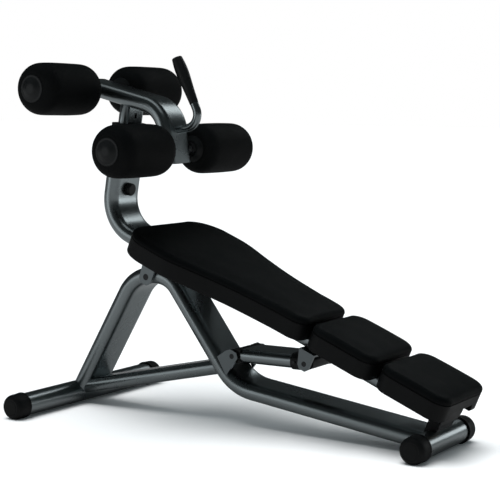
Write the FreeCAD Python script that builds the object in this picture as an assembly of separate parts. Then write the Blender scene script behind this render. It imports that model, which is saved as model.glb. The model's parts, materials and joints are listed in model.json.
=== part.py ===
import FreeCAD, Part
import math
import os

# Adjustable decline bench: a welded frame on two cross feet, a padded beam that
# tilts on the frame's apex, a telescoping strut that sets the tilt, and a leg
# support with foam rollers. Millimetres, +Z up, +X towards the low end.
# Positions are measured from the rear foot's axis and moved to the origin on export.

V = FreeCAD.Vector

origin_x = 651.5            # the origin stands this far in front of the rear foot's axis
bench_length = 1400.0       # longer than any piece, for cuts that run right through

# Frame
foot_z = 38.0
foot_radius = 35.0
foot_wall = 3.0
front_foot_x = 1260.0
rear_half_width = 367.0
front_half_width = 180.0
cap_radius = 40.0
cap_length = 55.0
cap_end = 10.0
cap_round = 12.0
tube_width = 140.0          # flat-oval tube: across the bench
tube_depth = 52.0           # flat-oval tube: in the bench's side view
tube_wall = 3.0
brace_width = 120.0
brace_depth = 44.0
leg_foot_x = 3.7
leg_corner_x = 235.7
apex_z = 436.6
leg_bend = 122.0
seam_x = 322.0
main_corner_x = 368.8
main_bend = 90.0
knee_x = 607.6
knee_z = 119.6
knee_bend = 150.0
main_end_z = 36.4
brace_start_z = 50.0
brace_end_x = 545.0
brace_end_z = 172.9

# Beam pivot at the apex
pivot_x = 301.0
pivot_z = 434.0
pivot_pin_radius = 10.0
sleeve_radius = 18.0
bush_radius = 14.0
bush_flange_radius = 20.0
bush_flange = 2.0
bush_length = 24.0
bracket_shift = 2.0           # the bracket's web sits this far up the beam from its pin
pivot_nose = 24.0
running_gap = 0.05
edge_tolerance = 0.01       # for picking the edges that lie in a plane
nose_side = 0.95            # share of a bracket's nose where its sides end
nose_tip = 0.5              # share of a bracket's nose that is its flat tip
loose_gap = 0.3
ear_inner = 72.3            # inner face of the beam's ears, from the middle plane
ear_outer = 80.3

# Beam and upright. Beam pieces are drawn level, with the pads' top face at zero
# height, and then turned down about the datum point.
decline = 22.2
datum = V(1236.0, 0, 222.0)
beam_centre = -76.0
beam_top = beam_centre + tube_depth / 2
beam_bottom = beam_centre - tube_depth / 2
beam_end = 95.0
upright_lean = 9.2
upright_point = V(152.2, 0, 730.5)
upright_top = 166.0         # along the upright, from the point above
beam_bend = 119.0
plug_flange = 6.0
plug_depth = 30.0
rest_block_length = 35.0
rest_block_half_width = 50.0
rest_block_drop = 50.0

# Brackets under the beam
web_thickness = 6.0
bracket_length = 52.0

# Strut, drawn level from its lower pin and then turned up
strut_low = V(618.0, 0, 218.0)
strut_high = V(868.0, 0, 221.0)
strut_pin_radius = 8.0
strut_width = 136.0
strut_depth = 42.0
strut_nose = 20.0
strut_tube_start = 24.0
strut_tube_end = 207.0
strut_collar_start = 198.0
strut_collar_end = 231.0
strut_collar_width = 140.0
strut_collar_depth = 50.0
strut_inner_width = 120.0
strut_inner_depth = 30.0
strut_inner_start = 70.0
strut_inner_end = 240.0
strut_tongue = 26.0         # how far the hinge plug reaches into the tube
strut_slider_length = 12.0
strut_side_gap = 1.3         # between the strut and the beam's bracket
strut_nose_drop = 20.0
strut_web_shift = 5.0
lug_inner = 70.0
lug_outer = 78.0
button_x = 211.0
button_radius = 5.0
button_proud = 4.0
button_gap = 5.0            # from the inner tube
lug_outline = [(566, 212), (594, 232), (612, 239), (634, 230), (639, 214), (628, 200), (598, 158)]

# Pads: position along the beam, half-width and corner radius
pad_thickness = 71.5
cushion_side = 19.0
cushion_depth = 38.0
cushion_round = 12.0
seam_gap = 2.0
board_bottom = beam_top
shell_wall = 6.0
channel_half_width = 72.0
channel_wall = 5.0
shell_gap = 1.0             # between the shell and the cushion or board inside it
shell_inset = 1.0            # the shell stands this far inside the cushion's edge
shell_rim = 7.0
shell_floor = 4.0
shell_round = 5.0
board_gap = 0.4
bolt_end = 4.0               # from the bolt's tip to the board's top face
main_pad_start = -1000.0
main_pad_end = -358.0
main_pad_wide = 221.0
main_pad_narrow = 139.0
main_pad_corner = 105.0
main_pad_low_corner = 45.0
main_pad_waist = [(-797.0, 217.0), (-735.0, 198.0), (-676.0, 180.0), (-618.0, 165.0),
                  (-565.0, 155.0), (-490.0, 145.0)]
small_pads = {"middle": (-341.0, -119.0), "lower": (-101.0, 121.0)}
small_pad_half_width = 142.0
small_pad_corner = 46.0
bolt_places = {"main": (-890.0, -450.0), "middle": (-285.0, -165.0), "lower": (-50.0, 30.0)}
bolt_half_spacing = 28.0
bolt_radius = 4.0
bolt_head_radius = 7.0
bolt_head_height = 5.0

# Leg support
post_width = 98.0
post_depth = 36.0
post_wall = 3.0
post_bottom = -75.0
post_top = 262.0
window_half_width = 5.0
window_low = 195.0
window_high = 212.0
track_half_width = 6.5      # slot for the pull pin in the post's front face
track_low = -71.0
track_high = -22.0
collar_flange = 10.0
collar_margin = 3.0
collar_plug = 40.0
neck_width = 124.0
neck_depth = 50.0
neck_points = [V(48.0, 0, 1019.4), V(335.1, 0, 950.8), V(358.0, 0, 783.0)]
neck_bend = 95.0
neck_cap_length = 6.0
neck_top_plug = 10.0
neck_bottom_plug = 15.0
neck_plug_sink = 3.0        # how far the bottom plug sits inside the tube's end
upper_axle = V(78.0, 0, 1008.0)
lower_axle = V(361.0, 0, 826.5)
axle_radius = 12.5
axle_half_length = 338.0
roller_radius = 79.0
roller_inner = 79.0
roller_outer = 349.0
hub_radius = 41.5
hub_thickness = 6.0
foam_round_length = 45.0
core_radius = 18.0
core_gap = 0.5              # between the core and the ring that holds it
dome_tip_radius = 3.0
collar_ring = (64.0, 76.0, 20.0)    # inner end, outer end and radius
end_ring = (334.5, 338.0, 16.5)

# Handle
handle_radius = 13.0
handle_wall = 2.5
handle_bend = 42.0
handle_points = [V(350.0, 0, 885.2), V(457.9, 0, 900.4), V(424.0, 0, 972.4)]
grip_start = V(427.0, 0, 966.0)
grip_end = V(361.0, 0, 1106.0)
grip_shape = [(0.0, 12.0), (0.02, 14.0), (0.2, 15.2), (0.4, 17.2), (0.6, 19.8), (0.72, 20.5),
              (0.84, 19.6), (0.92, 17.8), (0.97, 16.6), (1.0, 15.5)]   # place along it, radius
grip_overlap = 0.1          # share of the grip that the stem stops short of its top

# Pull pin in the upright
pin_height = -29.0          # along the upright
pin_tip = 16.5
pin_tip_radius = 5.0
pin_stem_radius = 4.0
pin_rest_gap = 0.3
pin_collar = 2.2
barrel_radius = 11.0
barrel_bore = 7.0
barrel_end = 38.0
barrel_lid = 2.0
knob_radius = 20.0
knob_start = 28.5
knob_end = 42.5
knob_round = 5.0
knob_wall = 3.0
knob_side_gap = 1.5
knob_end_gap = 0.4
spring_ring = (5.6, 0.5)    # ring radius and wire radius
spring_pitch = 1.05
spring_inset = 2.6         # the first ring's place behind the barrel's end

parts = {}


def keep(name, shape):
    parts[name] = shape


def box(low, high):
    size = high - low
    return Part.makeBox(size.x, size.y, size.z, low)


def across(x, z, y_start, y_end, radius):
    """A cylinder that runs across the bench."""
    return Part.makeCylinder(radius, y_end - y_start, V(x, y_start, z), V(0, 1, 0))


def turned(shape, degrees, point):
    moved = shape.copy()
    moved.rotate(V(0, 0, 0), V(0, 1, 0), degrees)
    moved.translate(point)
    return moved


def on_beam(shape):
    return turned(shape, decline, datum)


def on_upright(shape):
    return turned(shape, upright_lean, upright_point)


def on_strut(shape):
    rise = math.degrees(math.atan2(strut_high.z - strut_low.z, strut_high.x - strut_low.x))
    return turned(shape, -rise, strut_low)


def largest(shape):
    return max(shape.Solids, key=lambda solid: solid.Volume)


def bent_path(points, radii):
    """Straight runs joined by tangent arcs, one radius for each inner point."""
    edges = []
    start = points[0]
    for corner, after, radius in zip(points[1:-1], points[2:], radii):
        incoming = (corner - start).normalize()
        outgoing = (after - corner).normalize()
        half_turn = incoming.getAngle(outgoing) / 2
        setback = radius * math.tan(half_turn)
        arc_start = corner - incoming * setback
        arc_end = corner + outgoing * setback
        inward = (outgoing - incoming).normalize()
        middle = corner + inward * (radius / math.cos(half_turn) - radius)
        edges.append(Part.LineSegment(start, arc_start).toShape())
        edges.append(Part.Arc(arc_start, middle, arc_end).toShape())
        start = arc_end
    edges.append(Part.LineSegment(start, points[-1]).toShape())
    return Part.Wire(edges)


def oval_wire(centre, along, width, depth):
    """A flat oval with its long side across the bench."""
    direction = V(along).normalize()
    up = V(-direction.z, 0, direction.x) * (depth / 2)
    side = V(0, (width - depth) / 2, 0)
    edge = V(0, width / 2, 0)
    corners = [centre + up - side, centre + up + side, centre - up + side, centre - up - side]
    return Part.Wire([
        Part.LineSegment(corners[0], corners[1]).toShape(),
        Part.Arc(corners[1], centre + edge, corners[2]).toShape(),
        Part.LineSegment(corners[2], corners[3]).toShape(),
        Part.Arc(corners[3], centre - edge, corners[0]).toShape(),
    ])


def oval_bar(points, radii, width, depth):
    profile = oval_wire(points[0], points[1] - points[0], width, depth)
    return bent_path(points, radii).makePipeShell([profile], True, False)


def oval_tube(points, radii, width, depth, wall):
    outside = oval_bar(points, radii, width, depth)
    return outside.cut(oval_bar(points, radii, width - 2 * wall, depth - 2 * wall))


def oval_block(start, end, width, depth, height=0.0):
    """A level flat-oval block between two places along the bench."""
    return oval_bar([V(start, 0, height), V(end, 0, height)], [], width, depth)


def round_bar(points, radii, radius):
    profile = Part.Wire(Part.makeCircle(radius, points[0], points[1] - points[0]))
    return bent_path(points, radii).makePipeShell([profile], True, False)


def plate(outline, inner, outer):
    """A pair of side plates cut from a closed outline in the side view."""
    points = [V(x, 0, z) for x, z in outline]
    face = Part.Face(Part.makePolygon(points + points[:1]))
    sides = []
    for start in (inner, -outer):
        side = face.copy()
        side.translate(V(0, start, 0))
        sides.append(side.extrude(V(0, outer - inner, 0)))
    return sides


def both_sides(x, z, inner, outer, radius):
    return [across(x, z, inner, outer, radius), across(x, z, -outer, -inner, radius)]


def group(solids):
    return Part.makeCompound(solids)


def turned_profile(points, centre, axis_end):
    """A solid of revolution from (distance, radius) points along an axis."""
    outline = [V(distance, radius, 0) for distance, radius in points]
    outline = [V(points[0][0], 0, 0)] + outline + [V(points[-1][0], 0, 0)]
    face = Part.Face(Part.makePolygon(outline + outline[:1]))
    solid = face.revolve(V(0, 0, 0), V(1, 0, 0), 360)
    solid.Placement = FreeCAD.Placement(centre, FreeCAD.Rotation(V(1, 0, 0), axis_end - centre))
    return solid


# Feet -----------------------------------------------------------------------

def foot_cap(x, half_width, side):
    inner = half_width - cap_length
    body = across(x, foot_z, inner, half_width, cap_radius)
    rim = [edge for edge in body.Edges if abs(edge.BoundBox.YMin - half_width) < edge_tolerance
           and abs(edge.BoundBox.YMax - half_width) < edge_tolerance]
    body = body.makeFillet(cap_round, rim)
    body = body.cut(across(x, foot_z, inner, half_width - cap_end, foot_radius))
    flat = box(V(x - cap_radius, 0, -cap_radius), V(x + cap_radius, half_width + 1, 0))
    body = body.cut(flat)
    if side < 0:
        body = body.mirror(V(0, 0, 0), V(0, 1, 0))
    return body


def foot_tube(x, half_width):
    reach = half_width - cap_end
    tube = across(x, foot_z, -reach, reach, foot_radius)
    return tube.cut(across(x, foot_z, -reach, reach, foot_radius - foot_wall))


def make_feet():
    keep("rear_foot_tube", foot_tube(0, rear_half_width))
    keep("front_foot_tube", foot_tube(front_foot_x, front_half_width))
    caps = []
    for side in (1, -1):
        caps.append(foot_cap(0, rear_half_width, side))
        caps.append(foot_cap(front_foot_x, front_half_width, side))
    keep("foot_caps", group(caps))


# Frame ----------------------------------------------------------------------

def main_points():
    return [V(seam_x, 0, apex_z), V(main_corner_x, 0, apex_z),
            V(knee_x, 0, knee_z), V(front_foot_x, 0, main_end_z)]


def make_frame():
    leg_points = [V(leg_foot_x, 0, foot_z), V(leg_corner_x, 0, apex_z), V(seam_x, 0, apex_z)]
    brace_points = [V(0, 0, brace_start_z), V(brace_end_x, 0, brace_end_z)]
    rear_foot = across(0, foot_z, -rear_half_width, rear_half_width, foot_radius)
    front_foot = across(front_foot_x, foot_z, -front_half_width, front_half_width, foot_radius)
    sleeve = across(pivot_x, pivot_z, -tube_width / 2, tube_width / 2, sleeve_radius)

    leg = oval_tube(leg_points, [leg_bend], tube_width, tube_depth, tube_wall)
    leg = largest(leg.cut(rear_foot)).cut(sleeve)
    keep("rear_leg_tube", largest(leg))

    main = oval_tube(main_points(), [main_bend, knee_bend], tube_width, tube_depth, tube_wall)
    keep("main_tube", largest(main.cut(front_foot)))

    brace = oval_tube(brace_points, [], brace_width, brace_depth, tube_wall)
    leg_core = oval_bar(leg_points, [leg_bend], tube_width, tube_depth)
    main_core = oval_bar(main_points(), [main_bend, knee_bend], tube_width, tube_depth)
    brace = brace.cut(rear_foot).cut(leg_core).cut(main_core)
    keep("brace_tube", largest(brace))

    bore = across(pivot_x, pivot_z, -tube_width / 2, tube_width / 2, bush_radius)
    keep("pivot_sleeve", sleeve.cut(bore))


def make_pivot():
    inside = tube_width / 2 - bush_length
    bushes = []
    for side in (1, -1):
        ends = sorted((side * inside, side * tube_width / 2))
        rim = sorted((side * tube_width / 2, side * (tube_width / 2 + bush_flange)))
        bush = across(pivot_x, pivot_z, ends[0], ends[1], bush_radius)
        bush = bush.fuse(across(pivot_x, pivot_z, rim[0], rim[1], bush_flange_radius))
        bore = across(pivot_x, pivot_z, -ear_outer, ear_outer, pivot_pin_radius + running_gap)
        bushes.append(bush.cut(bore).removeSplitter())
    keep("pivot_bushes", group(bushes))
    keep("pivot_pin", across(pivot_x, pivot_z, -ear_outer, ear_outer, pivot_pin_radius))


def make_strut_lugs():
    x, z = strut_low.x, strut_low.z
    hole = across(x, z, -lug_outer, lug_outer, strut_pin_radius)
    lugs = [lug.cut(hole) for lug in plate(lug_outline, lug_inner, lug_outer)]
    keep("strut_lugs", group(lugs))
    keep("strut_lower_pin", across(x, z, -lug_outer, lug_outer, strut_pin_radius))


# Beam -----------------------------------------------------------------------

def pad_outline(name, inset):
    """The pad's plan outline as a wire in the level beam frame."""
    if name == "main":
        return main_outline(inset)
    start, end = small_pads[name]
    half = small_pad_half_width - inset
    radius = small_pad_corner - inset
    return rounded_outline(start + inset, end - inset, half, half, radius, radius, [])


def main_outline(inset):
    between = [(x, half_width - inset) for x, half_width in main_pad_waist]
    return rounded_outline(main_pad_start + inset, main_pad_end - inset,
                           main_pad_wide - inset, main_pad_narrow - inset,
                           main_pad_corner - inset, main_pad_low_corner - inset, between)


def rounded_outline(start, end, half_start, half_end, radius_start, radius_end, between):
    """Two straight ends, four round corners and two sides that may curve."""
    lean = math.sqrt(0.5)
    edges = [Part.LineSegment(V(start, -half_start + radius_start, 0),
                              V(start, half_start - radius_start, 0)).toShape()]
    corner = V(start + radius_start, half_start - radius_start, 0)
    edges.append(Part.Arc(V(start, corner.y, 0), corner + V(-lean, lean, 0) * radius_start,
                          V(corner.x, half_start, 0)).toShape())
    side_start = V(start + radius_start, half_start, 0)
    side_end = V(end - radius_end, half_end, 0)
    edges.append(side_edge(side_start, [V(x, y, 0) for x, y in between], side_end))
    corner = V(end - radius_end, half_end - radius_end, 0)
    edges.append(Part.Arc(side_end, corner + V(lean, lean, 0) * radius_end,
                          V(end, corner.y, 0)).toShape())
    edges.append(Part.LineSegment(V(end, corner.y, 0), V(end, -corner.y, 0)).toShape())
    edges.append(Part.Arc(V(end, -corner.y, 0), V(corner.x + lean * radius_end,
                          -corner.y - lean * radius_end, 0), V(side_end.x, -half_end, 0)).toShape())
    mirrored = [V(x, -y, 0) for x, y in reversed(between)]
    edges.append(side_edge(V(side_end.x, -half_end, 0), mirrored, V(side_start.x, -half_start, 0)))
    edges.append(Part.Arc(V(side_start.x, -half_start, 0),
                          V(side_start.x - lean * radius_start,
                            -half_start + radius_start - lean * radius_start, 0),
                          V(start, -half_start + radius_start, 0)).toShape())
    return Part.Wire(edges)


def side_edge(start, between, end):
    if not between:
        return Part.LineSegment(start, end).toShape()
    along = V(end.x - start.x, 0, 0).normalize()
    curve = Part.BSplineCurve()
    curve.interpolate(Points=[start] + between + [end], InitialTangent=along, FinalTangent=along)
    return curve.toShape()


def pad_slab(name, inset, bottom, top):
    face = Part.Face(pad_outline(name, inset))
    face.translate(V(0, 0, bottom))
    return face.extrude(V(0, 0, top - bottom))


def round_edges_at(shape, height, radius):
    edges = [edge for edge in shape.Edges if abs(edge.BoundBox.ZMin - height) < edge_tolerance
             and abs(edge.BoundBox.ZMax - height) < edge_tolerance]
    return shape.makeFillet(radius, edges)


def bolt_shafts(name, radius, bottom, top):
    shafts = []
    for x in bolt_places[name]:
        for y in (-bolt_half_spacing, bolt_half_spacing):
            shafts.append(Part.makeCylinder(radius, top - bottom, V(x, y, bottom)))
    return shafts


def hex_head(x, y, bottom, height, radius):
    corners = []
    for step in range(6):
        angle = math.radians(60 * step)
        corners.append(V(x + radius * math.cos(angle), y + radius * math.sin(angle), bottom))
    return Part.Face(Part.makePolygon(corners + corners[:1])).extrude(V(0, 0, height))


def make_pad(name):
    board_top = -cushion_depth
    bolt_top = board_top - bolt_end
    cushion = round_edges_at(pad_slab(name, 0, -cushion_side, 0), 0, cushion_round)
    cushion = cushion.fuse(pad_slab(name, shell_wall + shell_gap, board_top, -cushion_side))
    keep(name + "_pad_cushion", on_beam(cushion.removeSplitter()))

    board = pad_slab(name, shell_wall + shell_gap + board_gap, board_bottom, board_top)
    for shaft in bolt_shafts(name, bolt_radius, board_bottom, bolt_top):
        board = board.cut(shaft)
    keep(name + "_pad_board", on_beam(board))

    shell = pad_slab(name, shell_inset, -pad_thickness, -cushion_side - seam_gap)
    shell = round_edges_at(shell, -pad_thickness, shell_round)
    shell = shell.cut(pad_slab(name, shell_wall + shell_gap, board_bottom, 0))
    hollow = pad_slab(name, shell_wall + shell_rim, -pad_thickness + shell_floor, board_bottom)
    ridge = channel_half_width + channel_wall
    middle = box(V(-bench_length, -ridge, -pad_thickness), V(bench_length, ridge, 0))
    shell = shell.cut(hollow.cut(middle))
    channel = box(V(-bench_length, -channel_half_width, -2 * pad_thickness),
                  V(bench_length, channel_half_width, board_bottom))
    keep(name + "_pad_shell", on_beam(shell.cut(channel)))


def make_pads():
    bolts = []
    for name in ["main"] + list(small_pads):
        make_pad(name)
        heads = [hex_head(x, y, beam_bottom - bolt_head_height, bolt_head_height, bolt_head_radius)
                 for x in bolt_places[name] for y in (-bolt_half_spacing, bolt_half_spacing)]
        shafts = bolt_shafts(name, bolt_radius, beam_bottom, -cushion_depth - bolt_end)
        bolts += [on_beam(shaft.fuse(head)) for shaft, head in zip(shafts, heads)]
    keep("pad_bolts", group(bolts))


def beam_place(point):
    """Where a point of the tilted beam lies in the level beam frame."""
    moved = Part.Vertex(point - datum)
    moved.rotate(V(0, 0, 0), V(0, 1, 0), -decline)
    return moved.Point


def beam_points():
    """The upright's top, the bend where it meets the beam, and the beam's low end."""
    height = beam_centre - beam_place(upright_point).z
    corner = height / math.cos(math.radians(decline - upright_lean))
    ends = [on_upright(Part.Vertex(V(0, 0, along))).Point for along in (upright_top, corner)]
    return ends + [on_beam(Part.Vertex(V(beam_end, 0, beam_centre))).Point]


def make_beam():
    beam = oval_tube(beam_points(), [beam_bend], tube_width, tube_depth, tube_wall)
    for name in bolt_places:
        for shaft in bolt_shafts(name, bolt_radius, beam_bottom - 1, beam_top + 1):
            beam = beam.cut(on_beam(shaft))
    barrel = Part.makeCylinder(barrel_radius, tube_depth, V(0, 0, pin_height), V(1, 0, 0))
    keep("beam_tube", largest(beam.cut(on_upright(barrel))))

    flange = oval_block(beam_end, beam_end + plug_flange, tube_width, tube_depth, beam_centre)
    plug = oval_block(beam_end - plug_depth, beam_end, tube_width - 2 * tube_wall,
                      tube_depth - 2 * tube_wall, beam_centre)
    keep("beam_end_plug", on_beam(flange.fuse(plug)))

    block = box(V(beam_end - rest_block_length, -rest_block_half_width, beam_bottom - rest_block_drop),
                V(beam_end, rest_block_half_width, beam_bottom))
    saddle = across(front_foot_x, foot_z, -front_half_width, front_half_width,
                    foot_radius + loose_gap)
    tube = oval_bar(main_points(), [main_bend, knee_bend], tube_width + 2 * loose_gap,
                    tube_depth + 2 * loose_gap)
    keep("beam_rest_block", largest(on_beam(block).cut(saddle).cut(tube)))


def hanging_bracket(centre_x, pin_x, pin_z, pin_radius, inner, outer, nose):
    """A web under the beam with an ear hanging down on each side."""
    low = beam_bottom - web_thickness
    start = centre_x - bracket_length / 2
    end = centre_x + bracket_length / 2
    web = box(V(start, -outer, low), V(end, outer, beam_bottom))
    drop = pin_z - nose * nose_tip
    bottom = pin_z - nose
    outline = [(start, low), (end, low), (pin_x + nose * nose_side, drop),
               (pin_x + nose * nose_tip, bottom), (pin_x - nose * nose_tip, bottom),
               (pin_x - nose * nose_side, drop)]
    for ear in plate(outline, inner, outer):
        web = web.fuse(ear)
    hole = across(pin_x, pin_z, -outer, outer, pin_radius)
    return web.cut(hole).removeSplitter()


def make_brackets():
    pivot = beam_place(V(pivot_x, 0, pivot_z))
    bracket = hanging_bracket(pivot.x - bracket_shift, pivot.x, pivot.z, pivot_pin_radius,
                              ear_inner, ear_outer, pivot_nose)
    keep("pivot_bracket", on_beam(bracket))
    pin = beam_place(strut_high)
    inner = lug_inner + strut_side_gap
    outer = lug_outer + strut_side_gap
    bracket = hanging_bracket(pin.x - strut_web_shift, pin.x, pin.z, strut_pin_radius,
                              inner, outer, strut_nose_drop)
    keep("strut_bracket", on_beam(bracket))
    bolts = both_sides(strut_high.x, strut_high.z, inner, outer, strut_pin_radius)
    keep("strut_upper_bolts", group(bolts))


# Strut ----------------------------------------------------------------------

def make_strut():
    length = (strut_high - strut_low).Length
    nose = across(0, 0, -strut_width / 2, strut_width / 2, strut_nose)
    neck = box(V(0, -strut_width / 2, -strut_nose), V(strut_tube_start, strut_width / 2, strut_nose))
    tongue = oval_block(strut_tube_start, strut_tube_start + strut_tongue,
                        strut_width - 2 * tube_wall, strut_depth - 2 * tube_wall)
    bore = across(0, 0, -strut_width, strut_width, strut_pin_radius + running_gap)
    plug = nose.fuse(neck).fuse(tongue).cut(bore).removeSplitter()
    keep("strut_hinge_plug", on_strut(plug))

    button_hole = across(button_x, 0, -strut_width, 0, button_radius + running_gap)
    tube = oval_tube([V(strut_tube_start, 0, 0), V(strut_tube_end, 0, 0)], [],
                     strut_width, strut_depth, tube_wall)
    keep("strut_outer_tube", on_strut(tube.cut(button_hole)))

    collar = oval_block(strut_collar_start, strut_collar_end, strut_collar_width, strut_collar_depth)
    collar = collar.cut(oval_block(0, strut_tube_end, strut_width, strut_depth))
    opening = oval_block(0, length, strut_inner_width + 2 * loose_gap,
                         strut_inner_depth + 2 * loose_gap)
    keep("strut_collar", on_strut(collar.cut(opening).cut(button_hole)))

    inner_tube = oval_tube([V(strut_inner_start, 0, 0), V(strut_inner_end, 0, 0)], [],
                           strut_inner_width, strut_inner_depth, tube_wall)
    boss = across(length, 0, -strut_inner_width, strut_inner_width, strut_nose)
    keep("strut_inner_tube", on_strut(inner_tube.cut(boss)))
    slider = oval_block(strut_inner_start - strut_slider_length, strut_inner_start,
                        strut_width - 2 * tube_wall - 2 * loose_gap,
                        strut_depth - 2 * tube_wall - 2 * loose_gap)
    keep("strut_slider", on_strut(slider))
    eye_half = strut_inner_width / 2 - 2
    eye = across(length, 0, -eye_half, eye_half, strut_nose)
    eye = eye.cut(across(length, 0, -eye_half, eye_half, strut_pin_radius + running_gap))
    keep("strut_eye", on_strut(eye))
    button = across(button_x, 0, -strut_collar_width / 2 - button_proud,
                    -strut_inner_width / 2 - button_gap, button_radius)
    keep("strut_lock_button", on_strut(button))


# Leg support ----------------------------------------------------------------

def upright_oval(bottom, top, width, depth):
    return oval_bar([V(0, 0, bottom), V(0, 0, top)], [], width, depth)


def make_post():
    flange = upright_oval(upright_top, upright_top + collar_flange,
                          tube_width + 2 * collar_margin, tube_depth + 2 * collar_margin)
    plug = upright_oval(upright_top - collar_plug, upright_top, tube_width - 2 * tube_wall,
                        tube_depth - 2 * tube_wall)
    opening = upright_oval(0, 2 * upright_top, post_width + 2 * loose_gap,
                           post_depth + 2 * loose_gap)
    keep("post_collar", on_upright(flange.fuse(plug).cut(opening).removeSplitter()))

    post = upright_oval(post_bottom, post_top, post_width, post_depth)
    post = post.cut(upright_oval(post_bottom, post_top, post_width - 2 * post_wall,
                                 post_depth - 2 * post_wall))
    track = box(V(0, -track_half_width, track_low), V(post_depth, track_half_width, track_high))
    window = box(V(0, -window_half_width, window_low), V(post_depth, window_half_width, window_high))
    post = post.cut(track).cut(window)
    neck = oval_bar(neck_points, [neck_bend], neck_width, neck_depth)
    keep("inner_post", largest(on_upright(post).cut(neck)))


def make_neck():
    neck = oval_tube(neck_points, [neck_bend], neck_width, neck_depth, tube_wall)
    for axle in (upper_axle, lower_axle):
        neck = neck.cut(across(axle.x, axle.z, -neck_width, neck_width, axle_radius))
    keep("gooseneck_tube", largest(neck))

    inner_width = neck_width - 2 * tube_wall
    inner_depth = neck_depth - 2 * tube_wall
    top = neck_points[0]
    back = (neck_points[0] - neck_points[1]).normalize()
    cap = oval_bar([top, top + back * neck_cap_length], [], neck_width, neck_depth)
    stem = oval_bar([top - back * neck_top_plug, top], [], inner_width, inner_depth)
    keep("gooseneck_top_plug", cap.fuse(stem))
    bottom = neck_points[2]
    inward = (neck_points[1] - neck_points[2]).normalize()
    low = bottom + inward * neck_plug_sink
    high = low + inward * neck_bottom_plug
    keep("gooseneck_bottom_plug", oval_bar([low, high], [], inner_width, inner_depth))
    keep("roller_axles", group([across(axle.x, axle.z, -axle_half_length, axle_half_length,
                                       axle_radius) for axle in (upper_axle, lower_axle)]))
    rings = []
    for axle in (upper_axle, lower_axle):
        for inner, outer, radius in (collar_ring, end_ring):
            for ring in both_sides(axle.x, axle.z, inner, outer, radius):
                bore = across(axle.x, axle.z, -axle_half_length, axle_half_length, axle_radius)
                rings.append(ring.cut(bore))
    keep("axle_rings", group(rings))


def roller_profile():
    """(distance, radius) points of the foam from its inner to its outer end."""
    inner = roller_inner + hub_thickness
    outer = roller_outer - hub_thickness
    drop = roller_radius - hub_radius
    steps = [math.radians(angle) for angle in range(0, 91, 15)]
    first = [(inner + foam_round_length * (1 - math.sin(a)), hub_radius + drop * math.cos(a))
             for a in reversed(steps)]
    last = [(outer - foam_round_length * (1 - math.sin(a)), hub_radius + drop * math.cos(a))
            for a in steps]
    return first + last


def dome_profile(base, tip):
    rise = tip - base
    return [(base + rise * math.sin(math.radians(a)), hub_radius * math.cos(math.radians(a)))
            for a in range(0, 90, 15)] + [(tip, dome_tip_radius)]


def make_roller(place, axle, side):
    start = V(axle.x, 0, axle.z)
    end = start + V(0, side, 0)
    core_end = end_ring[0] - core_gap
    bore = across(axle.x, axle.z, *sorted((0, side * (roller_outer - hub_thickness))), core_radius)
    foam = turned_profile(roller_profile(), start, end).cut(bore)
    keep(place + "_roller_foam", foam)
    ends = sorted((side * roller_inner, side * core_end))
    core = across(axle.x, axle.z, ends[0], ends[1], core_radius)
    keep(place + "_roller_core", core.cut(across(axle.x, axle.z, ends[0], ends[1],
                                                 axle_radius + running_gap)))
    outer_hub = turned_profile(dome_profile(roller_outer - hub_thickness, roller_outer), start, end)
    inner_hub = turned_profile(dome_profile(-roller_inner - hub_thickness, -roller_inner),
                               start, start - V(0, side, 0)).cut(bore)
    keep(place + "_roller_hubs", group([outer_hub, inner_hub]))


def make_rollers():
    for level, axle in (("upper", upper_axle), ("lower", lower_axle)):
        for side, word in ((1, "left"), (-1, "right")):
            make_roller(level + "_" + word, axle, side)


def grip_profile(length):
    """(distance, radius) points: slim at the bottom, fullest in the upper third."""
    return [(length * part, radius) for part, radius in grip_shape]


def make_handle():
    neck = oval_bar(neck_points, [neck_bend], neck_width, neck_depth)
    bar = round_bar(handle_points, [handle_bend], handle_radius)
    bar = bar.cut(round_bar(handle_points, [handle_bend], handle_radius - handle_wall))
    length = (grip_end - grip_start).Length
    overlap = (grip_end - grip_start) * grip_overlap
    core_end = grip_end - overlap
    stem_start = grip_start - overlap
    stem = round_bar([stem_start, core_end], [], handle_radius - handle_wall)
    grip = turned_profile(grip_profile(length), grip_start, grip_end)
    keep("handle_tube", largest(bar.cut(neck).cut(grip)).fuse(stem).removeSplitter())
    keep("handle_grip", largest(grip.cut(stem)))


# Pull pin -------------------------------------------------------------------

def along_pin(start, end, radius):
    return Part.makeCylinder(radius, end - start, V(start, 0, pin_height), V(1, 0, 0))


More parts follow.
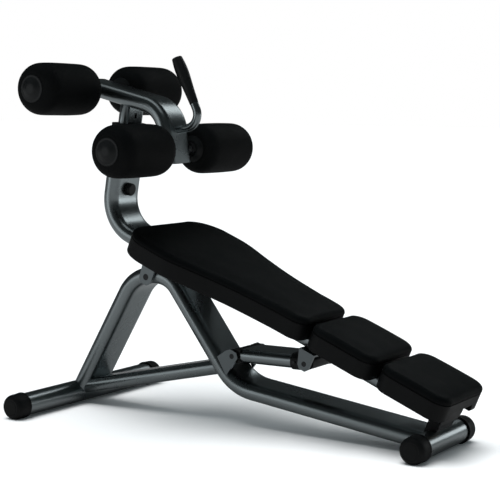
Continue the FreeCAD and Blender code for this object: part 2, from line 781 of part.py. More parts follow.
def make_pull_pin():
    wall_inner = tube_depth / 2 - tube_wall
    shoulder = tube_depth / 2
    collar = shoulder + pin_rest_gap
    stem_end = knob_end - knob_wall
    barrel = along_pin(wall_inner, barrel_end, barrel_radius)
    barrel = barrel.cut(along_pin(shoulder, barrel_end - barrel_lid, barrel_bore))
    barrel = barrel.cut(along_pin(0, shoulder, pin_tip_radius + running_gap))
    barrel = barrel.cut(along_pin(shoulder, barrel_end, pin_stem_radius + running_gap))
    keep("pull_pin_barrel", on_upright(barrel))
    plunger = along_pin(pin_tip, collar, pin_tip_radius)
    plunger = plunger.fuse(along_pin(collar, collar + pin_collar, barrel_bore - loose_gap))
    plunger = plunger.fuse(along_pin(collar + pin_collar, stem_end, pin_stem_radius))
    keep("pull_pin_plunger", on_upright(plunger.removeSplitter()))
    knob = along_pin(knob_start, knob_end, knob_radius)
    front = [edge for edge in knob.Edges if abs(edge.BoundBox.XMin - knob_end) < edge_tolerance
             and abs(edge.BoundBox.XMax - knob_end) < edge_tolerance]
    knob = knob.makeFillet(knob_round, front)
    knob = knob.cut(along_pin(knob_start, barrel_end + knob_end_gap, barrel_radius + knob_side_gap))
    knob = knob.cut(along_pin(knob_start, stem_end, pin_stem_radius))
    keep("pull_pin_knob", on_upright(knob))
    rings = []
    for step in range(3):
        place = barrel_end - spring_inset - spring_pitch * step
        ring = Part.makeTorus(spring_ring[0], spring_ring[1], V(place, 0, pin_height), V(1, 0, 0))
        rings.append(on_upright(ring))
    keep("pull_pin_spring", group(rings))


def export():
    os.makedirs("parts", exist_ok=True)
    for name, shape in parts.items():
        moved = shape.copy()
        moved.translate(V(-origin_x, 0, 0))
        moved.exportStep("parts/" + name + ".step")
    print(len(parts), "parts written")


make_feet()
make_frame()
make_pivot()
make_strut_lugs()
make_beam()
make_brackets()
make_pads()
make_strut()
make_post()
make_neck()
make_rollers()
make_handle()
make_pull_pin()
export()
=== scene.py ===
import json
import math

import bmesh
import bpy
import numpy as np
from mathutils import Matrix, Vector, noise


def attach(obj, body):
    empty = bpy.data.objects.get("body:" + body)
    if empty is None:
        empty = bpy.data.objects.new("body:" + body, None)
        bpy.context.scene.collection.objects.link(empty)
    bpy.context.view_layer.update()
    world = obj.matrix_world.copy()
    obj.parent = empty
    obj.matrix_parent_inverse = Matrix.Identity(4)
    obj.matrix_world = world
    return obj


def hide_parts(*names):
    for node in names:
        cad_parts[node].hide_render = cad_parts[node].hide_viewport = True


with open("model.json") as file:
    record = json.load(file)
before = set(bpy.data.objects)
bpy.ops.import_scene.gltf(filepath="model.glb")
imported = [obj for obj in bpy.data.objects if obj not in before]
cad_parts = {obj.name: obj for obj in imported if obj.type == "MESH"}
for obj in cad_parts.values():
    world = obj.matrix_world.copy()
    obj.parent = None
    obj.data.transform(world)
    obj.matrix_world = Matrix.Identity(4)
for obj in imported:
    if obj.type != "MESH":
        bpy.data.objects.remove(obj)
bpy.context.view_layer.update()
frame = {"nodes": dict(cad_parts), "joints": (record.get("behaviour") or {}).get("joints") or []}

nodes = frame["nodes"]
print("frame loaded,", len(nodes), "CAD nodes")


def jointPlace(name):
    joint = next(j for j in frame["joints"] if j["name"] == name)
    return Vector(joint["pos_m"])


def newGroup(name, inputs, outputs):
    group = bpy.data.node_groups.new(name, "ShaderNodeTree")
    for label, kind, value in inputs:
        socket = group.interface.new_socket(label, in_out="INPUT", socket_type=kind)
        socket.default_value = value
    for label, kind in outputs:
        group.interface.new_socket(label, in_out="OUTPUT", socket_type=kind)
    return group


def addNode(tree, kind, **settings):
    node = tree.nodes.new(kind)
    for key, value in settings.items():
        setattr(node, key, value)
    return node


def makeGrainGroup():
    group = newGroup("surfaceGrain",
                     [("Fine Scale", "NodeSocketFloat", 900.0), ("Patch Scale", "NodeSocketFloat", 9.0),
                      ("Stretch", "NodeSocketVector", (1.0, 1.0, 1.0))],
                     [("Fine", "NodeSocketFloat"), ("Patch", "NodeSocketFloat")])
    inside = addNode(group, "NodeGroupInput")
    outside = addNode(group, "NodeGroupOutput")
    place = addNode(group, "ShaderNodeTexCoord")
    stretched = addNode(group, "ShaderNodeVectorMath", operation="MULTIPLY")
    fine = addNode(group, "ShaderNodeTexNoise")
    fine.inputs["Detail"].default_value = 3.0
    patch = addNode(group, "ShaderNodeTexNoise")
    patch.inputs["Detail"].default_value = 5.0
    patch.inputs["Roughness"].default_value = 0.62
    link = group.links.new
    link(place.outputs["Object"], stretched.inputs[0])
    link(inside.outputs["Stretch"], stretched.inputs[1])
    link(stretched.outputs[0], fine.inputs["Vector"])
    link(inside.outputs["Fine Scale"], fine.inputs["Scale"])
    link(stretched.outputs[0], patch.inputs["Vector"])
    link(inside.outputs["Patch Scale"], patch.inputs["Scale"])
    link(fine.outputs["Fac"], outside.inputs["Fine"])
    link(patch.outputs["Fac"], outside.inputs["Patch"])
    return group


def makePebbleGroup():
    group = newGroup("pebbledSkin",
                     [("Cell Scale", "NodeSocketFloat", 700.0), ("Crease", "NodeSocketFloat", 0.25)],
                     [("Height", "NodeSocketFloat"), ("Painted Crease Shade", "NodeSocketFloat")])
    inside = addNode(group, "NodeGroupInput")
    outside = addNode(group, "NodeGroupOutput")
    place = addNode(group, "ShaderNodeTexCoord")
    warp = addNode(group, "ShaderNodeTexNoise")
    warp.inputs["Scale"].default_value = 260.0
    mix = addNode(group, "ShaderNodeMixRGB", blend_type="LINEAR_LIGHT")
    mix.inputs["Fac"].default_value = 0.0016
    cells = addNode(group, "ShaderNodeTexVoronoi", feature="DISTANCE_TO_EDGE")
    rim = addNode(group, "ShaderNodeMapRange")
    rim.inputs["To Min"].default_value = 0.0
    rim.inputs["To Max"].default_value = 1.0
    # painted shade: one minus the cell height, high in the grain's creases, used only to darken the base
    # colour there
    flip = addNode(group, "ShaderNodeMath", operation="SUBTRACT")
    flip.inputs[0].default_value = 1.0
    link = group.links.new
    link(place.outputs["Object"], warp.inputs["Vector"])
    link(place.outputs["Object"], mix.inputs["Color1"])
    link(warp.outputs["Color"], mix.inputs["Color2"])
    link(mix.outputs["Color"], cells.inputs["Vector"])
    link(inside.outputs["Cell Scale"], cells.inputs["Scale"])
    link(cells.outputs["Distance"], rim.inputs["Value"])
    link(inside.outputs["Crease"], rim.inputs["From Max"])
    link(rim.outputs["Result"], outside.inputs["Height"])
    link(rim.outputs["Result"], flip.inputs[1])
    link(flip.outputs[0], outside.inputs["Painted Crease Shade"])
    return group


grainGroup = makeGrainGroup()
pebbleGroup = makePebbleGroup()


def startMaterial(name, look):
    material = bpy.data.materials.new(name)
    material.use_nodes = True
    tree = material.node_tree
    shader = tree.nodes["Principled BSDF"]
    shader.inputs["Metallic"].default_value = look.get("metallic", 0.0)
    shader.inputs["Coat Weight"].default_value = look.get("coat", 0.0)
    shader.inputs["Coat Roughness"].default_value = look.get("coatRoughness", 0.1)
    shader.inputs["Sheen Weight"].default_value = look.get("sheen", 0.0)
    shader.inputs["Sheen Roughness"].default_value = look.get("sheenRoughness", 0.5)
    shader.inputs["Specular IOR Level"].default_value = look.get("specular", 0.5)
    return material, tree, shader


def spread(tree, value, low, high):
    ranged = addNode(tree, "ShaderNodeMapRange")
    ranged.inputs["From Min"].default_value = 0.3
    ranged.inputs["From Max"].default_value = 0.7
    ranged.inputs["To Min"].default_value = low
    ranged.inputs["To Max"].default_value = high
    tree.links.new(value, ranged.inputs["Value"])
    return ranged.outputs["Result"]


def twoTone(tree, value, dark, light):
    ramp = addNode(tree, "ShaderNodeValToRGB")
    ramp.color_ramp.elements[0].position = 0.32
    ramp.color_ramp.elements[0].color = (*dark, 1)
    ramp.color_ramp.elements[1].position = 0.68
    ramp.color_ramp.elements[1].color = (*light, 1)
    tree.links.new(value, ramp.inputs["Fac"])
    return ramp.outputs["Color"]


def grainMaterial(name, look):
    material, tree, shader = startMaterial(name, look)
    grain = addNode(tree, "ShaderNodeGroup", node_tree=grainGroup)
    grain.inputs["Fine Scale"].default_value = look["fineScale"]
    grain.inputs["Patch Scale"].default_value = look["patchScale"]
    grain.inputs["Stretch"].default_value = look.get("stretch", (1.0, 1.0, 1.0))
    bump = addNode(tree, "ShaderNodeBump")
    bump.inputs["Strength"].default_value = look["bump"]
    bump.inputs["Distance"].default_value = look["bumpDepth"]
    blend = addNode(tree, "ShaderNodeMath", operation="MULTIPLY_ADD")
    blend.inputs[1].default_value = look.get("flake", 0.3)
    link = tree.links.new
    link(grain.outputs["Fine"], blend.inputs[0])
    link(grain.outputs["Patch"], blend.inputs[2])
    shift = addNode(tree, "ShaderNodeMath", operation="SUBTRACT")
    shift.inputs[1].default_value = look.get("flake", 0.3) * 0.5
    link(blend.outputs[0], shift.inputs[0])
    link(twoTone(tree, shift.outputs[0], look["dark"], look["light"]), shader.inputs["Base Color"])
    link(spread(tree, grain.outputs["Patch"], *look["roughness"]), shader.inputs["Roughness"])
    link(grain.outputs["Fine"], bump.inputs["Height"])
    link(bump.outputs["Normal"], shader.inputs["Normal"])
    return material


def pebbleMaterial(name, look):
    material, tree, shader = startMaterial(name, look)
    grain = addNode(tree, "ShaderNodeGroup", node_tree=grainGroup)
    grain.inputs["Fine Scale"].default_value = look["fineScale"]
    grain.inputs["Patch Scale"].default_value = look["patchScale"]
    pebble = addNode(tree, "ShaderNodeGroup", node_tree=pebbleGroup)
    pebble.inputs["Cell Scale"].default_value = look["cellScale"]
    pebble.inputs["Crease"].default_value = look["crease"]
    height = addNode(tree, "ShaderNodeMath", operation="MULTIPLY_ADD")
    height.inputs[1].default_value = look.get("fineShare", 0.25)
    bump = addNode(tree, "ShaderNodeBump")
    bump.inputs["Strength"].default_value = look["bump"]
    bump.inputs["Distance"].default_value = look["bumpDepth"]
    # painted shade: base colour darkened by 0.12 in the grain creases, on the upholstery, the moulded shell
    # skin and the roller foam
    shade = addNode(tree, "ShaderNodeMath", operation="MULTIPLY_ADD")
    shade.inputs[1].default_value = -0.12
    link = tree.links.new
    link(grain.outputs["Fine"], height.inputs[0])
    link(pebble.outputs["Height"], height.inputs[2])
    link(height.outputs[0], bump.inputs["Height"])
    link(bump.outputs["Normal"], shader.inputs["Normal"])
    link(pebble.outputs["Painted Crease Shade"], shade.inputs[0])
    link(grain.outputs["Patch"], shade.inputs[2])
    link(twoTone(tree, shade.outputs[0], look["dark"], look["light"]), shader.inputs["Base Color"])
    link(spread(tree, grain.outputs["Patch"], *look["roughness"]), shader.inputs["Roughness"])
    return material


def plywoodMaterial(name, look):
    material, tree, shader = startMaterial(name, look)
    place = addNode(tree, "ShaderNodeTexCoord")
    turn = addNode(tree, "ShaderNodeMapping")
    turn.inputs["Rotation"].default_value = (0.0, -math.radians(look["tilt"]), 0.0)
    turn.inputs["Scale"].default_value = (4.0, 4.0, look["layersPerMetre"])
    rings = addNode(tree, "ShaderNodeTexNoise")
    rings.inputs["Scale"].default_value = 1.0
    rings.inputs["Detail"].default_value = 6.0
    bump = addNode(tree, "ShaderNodeBump")
    bump.inputs["Strength"].default_value = 0.3
    bump.inputs["Distance"].default_value = 0.0004
    link = tree.links.new
    link(place.outputs["Object"], turn.inputs["Vector"])
    link(turn.outputs["Vector"], rings.inputs["Vector"])
    link(twoTone(tree, rings.outputs["Fac"], look["dark"], look["light"]), shader.inputs["Base Color"])
    link(spread(tree, rings.outputs["Fac"], *look["roughness"]), shader.inputs["Roughness"])
    link(rings.outputs["Fac"], bump.inputs["Height"])
    link(bump.outputs["Normal"], shader.inputs["Normal"])
    return material


framePaint = grainMaterial("silverFramePaint", {
    "dark": (0.27, 0.305, 0.315), "light": (0.31, 0.345, 0.355), "metallic": 1.0,
    "roughness": (0.24, 0.33), "coat": 0.35, "coatRoughness": 0.16,
    "fineScale": 1500.0, "patchScale": 3.0, "flake": 0.3, "bump": 0.06, "bumpDepth": 0.0002})
# painted shade: a darkened copy of the silver frame paint for the bracket plates and lugs, standing in for
# shade and dim reflection on their flat faces; the real parts carry the same paint as the frame
shadedPlatePaint = grainMaterial("framePaintShadedCopy", {
    "dark": (0.15, 0.17, 0.178), "light": (0.18, 0.202, 0.21), "metallic": 1.0,
    "roughness": (0.3, 0.38), "coat": 0.2, "coatRoughness": 0.2,
    "fineScale": 1500.0, "patchScale": 3.0, "flake": 0.3, "bump": 0.06, "bumpDepth": 0.0002})
brightSteel = grainMaterial("brightSteel", {
    "dark": (0.50, 0.52, 0.53), "light": (0.68, 0.70, 0.71), "metallic": 1.0, "roughness": (0.2, 0.34),
    "fineScale": 700.0, "patchScale": 20.0, "stretch": (1.0, 0.06, 1.0), "bump": 0.1, "bumpDepth": 0.0002})
darkSteel = grainMaterial("blackOxideSteel", {
    "dark": (0.012, 0.013, 0.014), "light": (0.028, 0.029, 0.03), "metallic": 0.6, "roughness": (0.34, 0.5),
    "fineScale": 1300.0, "patchScale": 30.0, "bump": 0.2, "bumpDepth": 0.0002})
blackPlastic = grainMaterial("blackMouldedPlastic", {
    "dark": (0.0025, 0.0029, 0.0031), "light": (0.0045, 0.0050, 0.0053), "roughness": (0.38, 0.5),
    "fineScale": 1800.0, "patchScale": 16.0, "bump": 0.2, "bumpDepth": 0.0003, "specular": 0.25})
hubPlastic = grainMaterial("hubPlastic", {
    "dark": (0.0035, 0.0042, 0.0045), "light": (0.0055, 0.0063, 0.0066), "roughness": (0.36, 0.44),
    "fineScale": 1600.0, "patchScale": 16.0, "bump": 0.12, "bumpDepth": 0.0003, "specular": 0.25})
capRubber = grainMaterial("capRubber", {
    "dark": (0.0018, 0.0022, 0.0024), "light": (0.0034, 0.0039, 0.0042), "roughness": (0.5, 0.62),
    "fineScale": 1100.0, "patchScale": 12.0, "bump": 0.25, "bumpDepth": 0.0004, "specular": 0.22})
gripRubber = grainMaterial("gripRubber", {
    "dark": (0.0035, 0.0040, 0.0043), "light": (0.0060, 0.0067, 0.0070), "roughness": (0.4, 0.52),
    "fineScale": 1200.0, "patchScale": 24.0, "bump": 0.2, "bumpDepth": 0.0003, "specular": 0.3})
nylon = grainMaterial("nylon", {
    "dark": (0.62, 0.61, 0.57), "light": (0.74, 0.73, 0.69), "roughness": (0.4, 0.5),
    "fineScale": 900.0, "patchScale": 20.0, "bump": 0.1, "bumpDepth": 0.0002})
upholstery = pebbleMaterial("blackUpholstery", {
    "dark": (0.0014, 0.0019, 0.0021), "light": (0.0026, 0.0032, 0.0034), "roughness": (0.54, 0.64),
    "fineScale": 1500.0, "patchScale": 6.0, "cellScale": 620.0, "crease": 0.22,
    "bump": 0.3, "bumpDepth": 0.0004, "specular": 0.08})
shellSkin = pebbleMaterial("mouldedShellSkin", {
    "dark": (0.0014, 0.0017, 0.0019), "light": (0.0026, 0.0030, 0.0032), "roughness": (0.46, 0.56),
    "fineScale": 1700.0, "patchScale": 8.0, "cellScale": 1100.0, "crease": 0.3,
    "bump": 0.25, "bumpDepth": 0.0003, "specular": 0.2})
rollerFoam = pebbleMaterial("rollerFoam", {
    "dark": (0.0012, 0.0016, 0.0018), "light": (0.0024, 0.0030, 0.0032), "roughness": (0.62, 0.75),
    "fineScale": 2200.0, "patchScale": 10.0, "cellScale": 950.0, "crease": 0.4,
    "bump": 0.35, "bumpDepth": 0.0004, "specular": 0.12})
plywood = plywoodMaterial("boardPlywood", {
    "dark": (0.23, 0.14, 0.07), "light": (0.46, 0.32, 0.18), "roughness": (0.55, 0.7),
    "tilt": 22.2, "layersPerMetre": 700.0})

finishFor = {
    "rear_foot_tube": framePaint, "front_foot_tube": framePaint, "rear_leg_tube": framePaint,
    "main_tube": framePaint, "brace_tube": framePaint, "strut_lugs": shadedPlatePaint,
    "beam_tube": framePaint, "pivot_bracket": shadedPlatePaint, "strut_bracket": shadedPlatePaint,
    "strut_outer_tube": framePaint, "strut_inner_tube": framePaint, "inner_post": framePaint,
    "gooseneck_tube": framePaint, "handle_tube": framePaint,
    "pivot_sleeve": brightSteel, "pull_pin_barrel": brightSteel, "pull_pin_spring": brightSteel,
    "pull_pin_plunger": brightSteel, "roller_axles": brightSteel,
    "strut_lower_pin": darkSteel, "pivot_pin": darkSteel, "strut_upper_bolts": darkSteel,
    "pad_bolts": darkSteel, "strut_lock_button": darkSteel, "axle_rings": darkSteel,
    "beam_end_plug": blackPlastic, "post_collar": blackPlastic, "strut_hinge_plug": blackPlastic,
    "strut_collar": blackPlastic, "strut_eye": blackPlastic, "gooseneck_top_plug": blackPlastic,
    "gooseneck_bottom_plug": blackPlastic, "pull_pin_knob": blackPlastic,
    "beam_rest_block": capRubber, "foot_caps": capRubber, "handle_grip": gripRubber,
    "pivot_bushes": nylon, "strut_slider": nylon}
for padName in ("main", "middle", "lower"):
    finishFor[padName + "_pad_cushion"] = upholstery
    finishFor[padName + "_pad_shell"] = shellSkin
    finishFor[padName + "_pad_board"] = plywood
for nodeName in nodes:
    if nodeName.endswith("_roller_foam"):
        finishFor[nodeName] = rollerFoam
    elif nodeName.endswith("_roller_core"):
        finishFor[nodeName] = nylon
    elif nodeName.endswith("_roller_hubs"):
        finishFor[nodeName] = hubPlastic
for nodeName, piece in nodes.items():
    piece.data.materials.clear()
    piece.data.materials.append(finishFor[nodeName])
print("materials given to", len(finishFor), "nodes")


def makePiece(name, mesh, material, smooth=True):
    piece = bpy.data.objects.new(name, mesh)
    bpy.context.scene.collection.objects.link(piece)
    mesh.materials.clear()
    mesh.materials.append(material)
    for face in mesh.polygons:
        face.use_smooth = smooth
    return piece


def meshFrom(bm, name):
    bmesh.ops.remove_doubles(bm, verts=bm.verts, dist=1e-6)
    bmesh.ops.recalc_face_normals(bm, faces=bm.faces)
    mesh = bpy.data.meshes.new(name)
    bm.to_mesh(mesh)
    bm.free()
    return mesh


def bakeModifiers(piece):
    graph = bpy.context.evaluated_depsgraph_get()
    baked = bpy.data.meshes.new_from_object(piece.evaluated_get(graph))
    old = piece.data
    piece.modifiers.clear()
    piece.data = baked
    bpy.data.meshes.remove(old)


def addSubdivision(piece, levels):
    smoother = piece.modifiers.new("smooth", "SUBSURF")
    smoother.levels = levels
    smoother.render_levels = levels


def spinProfile(bm, profile, steps, closed=False):
    verts = [bm.verts.new((distance, 0.0, radius)) for distance, radius in profile]
    pairs = list(zip(verts, verts[1:]))
    if closed:
        pairs.append((verts[-1], verts[0]))
    edges = [bm.edges.new(pair) for pair in pairs]
    bmesh.ops.spin(bm, geom=verts + edges, cent=(0, 0, 0), axis=(1, 0, 0), dvec=(0, 0, 0),
                   angle=2 * math.pi, steps=steps, use_merge=True)
    bmesh.ops.remove_doubles(bm, verts=bm.verts, dist=1e-6)


def axisMatrix(start, end):
    direction = (end - start).normalized()
    turn = Vector((1, 0, 0)).rotation_difference(direction)
    return Matrix.Translation(start) @ turn.to_matrix().to_4x4()


padSettings = {
    "tilt": 22.2, "datum": Vector((0.5845, 0.0, 0.222)), "voxel": 0.005, "pressure": 4.0,
    "cap": 0.0065, "evenSteps": 90, "heldBelow": -0.0125}
beamMatrix = (Matrix.Translation(padSettings["datum"])
              @ Matrix.Rotation(math.radians(padSettings["tilt"]), 4, "Y"))


def startCushion(name):
    source = nodes[name + "_pad_cushion"].data.copy()
    bm = bmesh.new()
    bm.from_mesh(source)
    bmesh.ops.transform(bm, matrix=beamMatrix.inverted(), verts=bm.verts)
    bmesh.ops.remove_doubles(bm, verts=bm.verts, dist=1e-5)
    bmesh.ops.recalc_face_normals(bm, faces=bm.faces)
    mesh = bpy.data.meshes.new(name + "Cushion")
    bm.to_mesh(mesh)
    bm.free()
    return makePiece(name + "Cushion", mesh, upholstery)


def remeshPiece(piece, voxel):
    remesh = piece.modifiers.new("remesh", "REMESH")
    remesh.mode = "VOXEL"
    remesh.voxel_size = voxel
    bakeModifiers(piece)


def evenMoves(mesh, rest, settings):
    count = len(mesh.vertices)
    swollen = np.empty(count * 3)
    mesh.vertices.foreach_get("co", swollen)
    move = swollen.reshape(-1, 3) - rest
    length = np.linalg.norm(move, axis=1, keepdims=True)
    move *= np.minimum(1.0, settings["cap"] / np.maximum(length, 1e-9))
    ends = np.empty(len(mesh.edges) * 2, dtype=np.int32)
    mesh.edges.foreach_get("vertices", ends)
    near, far = ends.reshape(-1, 2).T
    degree = np.maximum(np.bincount(ends, minlength=count), 1)[:, None]
    free = (rest[:, 2] >= settings["heldBelow"])[:, None]
    for _ in range(settings["evenSteps"]):
        total = np.stack([np.bincount(near, move[far, axis], count)
                          + np.bincount(far, move[near, axis], count) for axis in range(3)], axis=1)
        move = 0.5 * (move + total / degree) * free
    mesh.vertices.foreach_set("co", (rest + move).ravel())
    mesh.update()


def swellPiece(piece, settings):
    mesh = piece.data
    rest = [v.co.copy() for v in mesh.vertices]
    held = piece.vertex_groups.new(name="held")
    for v in mesh.vertices:
        if v.co.z < settings["heldBelow"]:
            held.add([v.index], 1.0, "REPLACE")
    cloth = piece.modifiers.new("cloth", "CLOTH")
    cloth.settings.use_pressure = True
    cloth.settings.uniform_pressure_force = settings["pressure"]
    cloth.settings.vertex_group_mass = "held"
    cloth.settings.tension_stiffness = 12
    cloth.settings.compression_stiffness = 12
    cloth.settings.effector_weights.gravity = 0
    cloth.point_cache.frame_start = 1
    cloth.point_cache.frame_end = 20
    for step in range(1, 21):
        bpy.context.scene.frame_set(step)
    bakeModifiers(piece)
    evenMoves(piece.data, np.array(rest), settings)
    bpy.context.scene.frame_set(1)


def makeCushions():
    for name in ("main", "middle", "lower"):
        piece = startCushion(name)
        remeshPiece(piece, padSettings["voxel"])
        swellPiece(piece, padSettings)
        piece.vertex_groups.clear()
        piece.data.transform(beamMatrix)
        for face in piece.data.polygons:
            face.use_smooth = True
        piece.data.materials.clear()
        piece.data.materials.append(upholstery)
        addSubdivision(piece, 1)
        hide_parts(name + "_pad_cushion")
        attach(piece, "beam")
        print("cushion done:", name, len(piece.data.polygons), "faces")


makeCushions()


rollerSettings = {
    "inner": 0.085, "outer": 0.343, "radius": 0.079, "bore": 0.0182, "faceRadius": 0.043,
    "round": 0.045, "steps": 48, "ripple": 0.0005}
hubSettings = {"radius": 0.0415, "rise": 0.0115, "rim": 0.0022, "steps": 48}


def foamProfile(settings):
    inner, outer = settings["inner"], settings["outer"]
    drop = settings["radius"] - settings["faceRadius"]
    angles = [math.radians(a) for a in (0, 18, 36, 54, 72, 90)]
    near = [(inner + settings["round"] * (1 - math.sin(a)), settings["faceRadius"] + drop * math.cos(a))
            for a in reversed(angles)]
    far = [(outer - settings["round"] * (1 - math.sin(a)), settings["faceRadius"] + drop * math.cos(a))
           for a in angles]
    bore = settings["bore"]
    middle = [(inner + (outer - inner) * part, settings["radius"] + 0.0008) for part in (0.35, 0.5, 0.65)]
    ring = [(outer + 0.0003, settings["faceRadius"] - 0.004), (outer, bore + 0.002), (outer - 0.002, bore),
            (inner + 0.002, bore), (inner, bore + 0.002), (inner - 0.0003, settings["faceRadius"] - 0.004)]
    return near + middle + far + ring


def makeRollers():
    for place in ("upper_left", "upper_right", "lower_left", "lower_right"):
        body = place + "_roller"
        axis = jointPlace(body + "_spin")
        side = 1 if place.endswith("left") else -1
        turn = axisMatrix(axis, axis + Vector((0, side, 0)))
        bm = bmesh.new()
        spinProfile(bm, foamProfile(rollerSettings), rollerSettings["steps"], closed=True)
        bmesh.ops.transform(bm, matrix=turn, verts=bm.verts)
        piece = makePiece(body + "Foam", meshFrom(bm, body + "Foam"), rollerFoam)
        addSubdivision(piece, 2)
        bakeModifiers(piece)
        for v in piece.data.vertices:
            along = v.co - axis
            outward = Vector((along.x, 0, along.z))
            if outward.length > rollerSettings["bore"] + 0.01:
                ripple = noise.noise(v.co * 14) * rollerSettings["ripple"]
                v.co += outward.normalized() * ripple
        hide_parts(place + "_roller_foam")
        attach(piece, body)

        hub = hubSettings
        outerFace = rollerSettings["outer"]
        innerFace = rollerSettings["inner"]
        radius, rise, rim = hub["radius"], hub["rise"], hub["rim"]
        outerDome = [(outerFace + 0.0004, 0.0), (outerFace + 0.0004, radius - 0.001),
                     (outerFace + 0.001, radius), (outerFace + rim, radius - 0.0006),
                     (outerFace + rim + 0.0004, radius - 0.004),
                     (outerFace + rim - 0.0002, radius - 0.006), (outerFace + rim + 0.0015, radius - 0.011),
                     (outerFace + rise - 0.0012, radius * 0.42), (outerFace + rise - 0.0004, radius * 0.2),
                     (outerFace + rise - 0.0004, 0.0)]
        bm = bmesh.new()
        spinProfile(bm, outerDome, hub["steps"])
        inner = [(innerFace - 0.0004, 0.0183), (innerFace - 0.0004, radius - 0.001),
                 (innerFace - 0.001, radius), (innerFace - rim, radius - 0.0006),
                 (innerFace - rim - 0.0008, radius - 0.005),
                 (innerFace - rise + 0.0012, radius * 0.62), (innerFace - rise + 0.0004, 0.0205),
                 (innerFace - rise + 0.001, 0.0183)]
        spinProfile(bm, inner, hub["steps"], closed=True)
        bmesh.ops.transform(bm, matrix=turn, verts=bm.verts)
        hubs = makePiece(body + "Hubs", meshFrom(bm, body + "Hubs"), hubPlastic)
        addSubdivision(hubs, 2)
        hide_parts(place + "_roller_hubs")
        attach(hubs, body)
    print("rollers done")


makeRollers()


gripSettings = {
    "start": Vector((-0.2245, 0.0, 0.966)), "end": Vector((-0.2905, 0.0, 1.106)), "bore": 0.0106, "steps": 32,
    "shape": [(0.0, 0.0128), (0.012, 0.0138), (0.04, 0.0140), (0.2, 0.0152), (0.4, 0.0172), (0.58, 0.0196),
              (0.7, 0.0204), (0.82, 0.0195), (0.92, 0.0178), (0.975, 0.0166), (0.994, 0.0161), (1.0, 0.0152),
              (1.0, 0.0)]}


def makeGrip():
    length = (gripSettings["end"] - gripSettings["start"]).length
    outside = [(part * length, radius) for part, radius in gripSettings["shape"]]
    bore = gripSettings["bore"]
    inside = [(length * 0.91, 0.0), (length * 0.91, bore), (length * 0.05, bore), (0.0, bore)]
    bm = bmesh.new()
    spinProfile(bm, outside + inside, gripSettings["steps"], closed=True)
    bmesh.ops.transform(bm, matrix=axisMatrix(gripSettings["start"], gripSettings["end"]), verts=bm.verts)
    piece = makePiece("handleGripSleeve", meshFrom(bm, "handleGripSleeve"), gripRubber)
    addSubdivision(piece, 2)
    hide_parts("handle_grip")
    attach(piece, "leg_support")
    print("grip done")


makeGrip()


capSettings = {
    "height": 0.038, "radius": 0.040, "bore": 0.0352, "length": 0.055, "steps": 48,
    "ends": [(-0.6515, 0.367), (0.6085, 0.180)]}


def makeCaps():
    radius, bore, tip = capSettings["radius"], capSettings["bore"], capSettings["length"]
    profile = [(0.0, bore), (0.0, radius - 0.0012), (0.0012, radius), (0.006, radius),
               (0.0085, radius - 0.0008), (0.011, radius - 0.0012), (tip * 0.6, radius - 0.0012),
               (tip - 0.011, radius - 0.002), (tip - 0.004, radius - 0.0065), (tip - 0.0008, radius - 0.0125),
               (tip - 0.0002, radius - 0.0145), (tip - 0.0014, radius - 0.0158),
               (tip - 0.0012, radius - 0.0175), (tip, radius - 0.020), (tip, 0.0),
               (tip - 0.0095, 0.0), (tip - 0.0095, bore - 0.001), (tip - 0.0105, bore)]
    for number, (x, halfWidth) in enumerate(capSettings["ends"]):
        bm = bmesh.new()
        for side in (1, -1):
            start = Vector((x, side * (halfWidth - tip), capSettings["height"]))
            one = bmesh.new()
            spinProfile(one, profile, capSettings["steps"], closed=True)
            bmesh.ops.transform(one, matrix=axisMatrix(start, start + Vector((0, side, 0))), verts=one.verts)
            mesh = meshFrom(one, "capPart")
            bm.from_mesh(mesh)
            bpy.data.meshes.remove(mesh)
        name = ("rearFootCaps", "frontFootCaps")[number]
        mesh = bpy.data.meshes.new(name)
        bm.to_mesh(mesh)
        bm.free()
        piece = makePiece(name, mesh, capRubber)
        addSubdivision(piece, 2)
        bakeModifiers(piece)
        for v in piece.data.vertices:  # worn flat where it stands
            v.co.z = max(v.co.z, 0.0)
        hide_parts("foot_caps")
        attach(piece, "frame")
    print("foot caps done")


makeCaps()


studio = {
    "cameraPlace": Vector((2.2188, -3.4959, 0.9557)), "azimuth": 32.64, "elevation": 5.84, "roll": 0.33,
    "lens": 100.22, "floorSize": 120.0, "sunStrength": 3.3, "sunAngle": 50.0,
    "sunFrom": Vector((-0.12, -0.12, 1.0)),
    "glossFill": 0.035, "softFill": 0.36, "mirroredFloor": 0.3,
    "panels": [("leftPanel", (-3.4, -4.6, 1.2), (3.4, 2.6), 20),
               ("overheadStrip", (-0.2, -0.6, 3.4), (3.2, 0.9), 6),
               ("backPanel", (0.05, 2.6, 2.5), (0.9, 1.3), 7),
               ("rightPanel", (1.6, 2.5, 0.6), (0.8, 0.7), 4)]}


def makeCamera():
    a, e = math.radians(studio["azimuth"]), math.radians(studio["elevation"])
    back = Vector((math.sin(a) * math.cos(e), -math.cos(a) * math.cos(e), math.sin(e)))
    right = Vector((0, 0, 1)).cross(back).normalized()
    up = back.cross(right)
    turn = Matrix((right, up, back)).transposed().to_4x4()
    data = bpy.data.cameras.new("camera")
    data.lens = studio["lens"]
    data.sensor_width = 36.0
    data.clip_end = 200.0
    camera = bpy.data.objects.new("camera", data)
    bpy.context.scene.collection.objects.link(camera)
    camera.matrix_world = (Matrix.Translation(studio["cameraPlace"]) @ turn
                           @ Matrix.Rotation(math.radians(studio["roll"]), 4, "Z"))
    bpy.context.scene.camera = camera


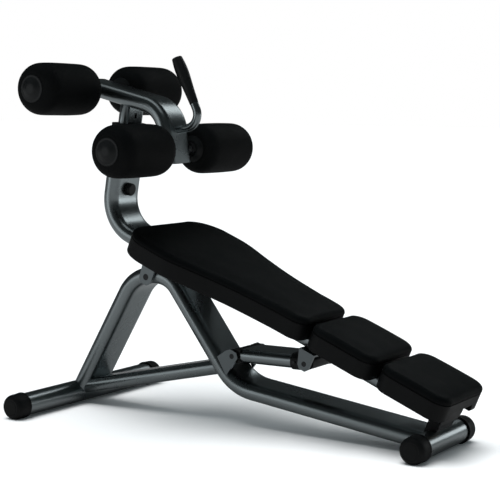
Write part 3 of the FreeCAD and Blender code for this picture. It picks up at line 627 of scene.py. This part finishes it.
def makeFloor():
    bm = bmesh.new()
    bmesh.ops.create_grid(bm, x_segments=1, y_segments=1, size=studio["floorSize"] / 2)
    mesh = bpy.data.meshes.new("floor")
    bm.to_mesh(mesh)
    bm.free()
    paleFloor = grainMaterial("paleFloor", {
        "dark": (0.86, 0.87, 0.875), "light": (0.88, 0.89, 0.895), "roughness": (0.75, 0.85),
        "fineScale": 60.0, "patchScale": 1.0, "bump": 0.0, "bumpDepth": 0.0002, "specular": 0.1})
    tree = paleFloor.node_tree
    shader = tree.nodes["Principled BSDF"]
    out = tree.nodes["Material Output"]
    dim = addNode(tree, "ShaderNodeBsdfDiffuse")
    dim.inputs["Color"].default_value = (0.9 * studio["mirroredFloor"],) * 3 + (1,)
    path = addNode(tree, "ShaderNodeLightPath")
    mix = addNode(tree, "ShaderNodeMixShader")
    tree.links.new(path.outputs["Is Glossy Ray"], mix.inputs["Fac"])
    tree.links.new(shader.outputs[0], mix.inputs[1])
    tree.links.new(dim.outputs[0], mix.inputs[2])
    tree.links.new(mix.outputs[0], out.inputs["Surface"])
    floor = makePiece("floor", mesh, paleFloor, smooth=False)


def areaLight(name, place, target, size, power, color):
    data = bpy.data.lights.new(name, "AREA")
    data.shape = "RECTANGLE"
    data.size, data.size_y = size
    data.energy = power
    data.color = color
    light = bpy.data.objects.new(name, data)
    bpy.context.scene.collection.objects.link(light)
    light.location = place
    light.rotation_euler = (Vector(target) - Vector(place)).to_track_quat("-Z", "Y").to_euler()
    return light


def makeLights():
    data = bpy.data.lights.new("skyPanel", "SUN")
    data.energy = studio["sunStrength"]
    data.angle = math.radians(studio["sunAngle"])
    sun = bpy.data.objects.new("skyPanel", data)
    bpy.context.scene.collection.objects.link(sun)
    sun.rotation_euler = (-studio["sunFrom"]).to_track_quat("-Z", "Y").to_euler()
    sun.visible_glossy = False
    for name, place, size, power in studio["panels"]:
        panel = areaLight(name, place, (0, 0, 0.5), size, power, (0.95, 0.99, 1.0))
        panel.visible_camera = False
    world = bpy.data.worlds.new("studioWorld")
    bpy.context.scene.world = world
    world.use_nodes = True
    tree = world.node_tree
    tree.nodes.clear()
    out = addNode(tree, "ShaderNodeOutputWorld")
    seen = addNode(tree, "ShaderNodeBackground")
    seen.inputs["Color"].default_value = (1, 1, 1, 1)
    seen.inputs["Strength"].default_value = 1.0
    soft = addNode(tree, "ShaderNodeBackground")
    soft.inputs["Color"].default_value = (0.80, 0.90, 0.94, 1)
    soft.inputs["Strength"].default_value = studio["softFill"]
    gloss = addNode(tree, "ShaderNodeBackground")
    gloss.inputs["Color"].default_value = (0.80, 0.92, 0.95, 1)
    gloss.inputs["Strength"].default_value = studio["glossFill"]
    path = addNode(tree, "ShaderNodeLightPath")
    unseen = addNode(tree, "ShaderNodeMixShader")
    whole = addNode(tree, "ShaderNodeMixShader")
    tree.links.new(path.outputs["Is Glossy Ray"], unseen.inputs["Fac"])
    tree.links.new(soft.outputs[0], unseen.inputs[1])
    tree.links.new(gloss.outputs[0], unseen.inputs[2])
    tree.links.new(path.outputs["Is Camera Ray"], whole.inputs["Fac"])
    tree.links.new(unseen.outputs[0], whole.inputs[1])
    tree.links.new(seen.outputs[0], whole.inputs[2])
    tree.links.new(whole.outputs[0], out.inputs["Surface"])
    bpy.context.scene.view_settings.view_transform = "Standard"


makeCamera()
makeFloor()
makeLights()
print("studio done")
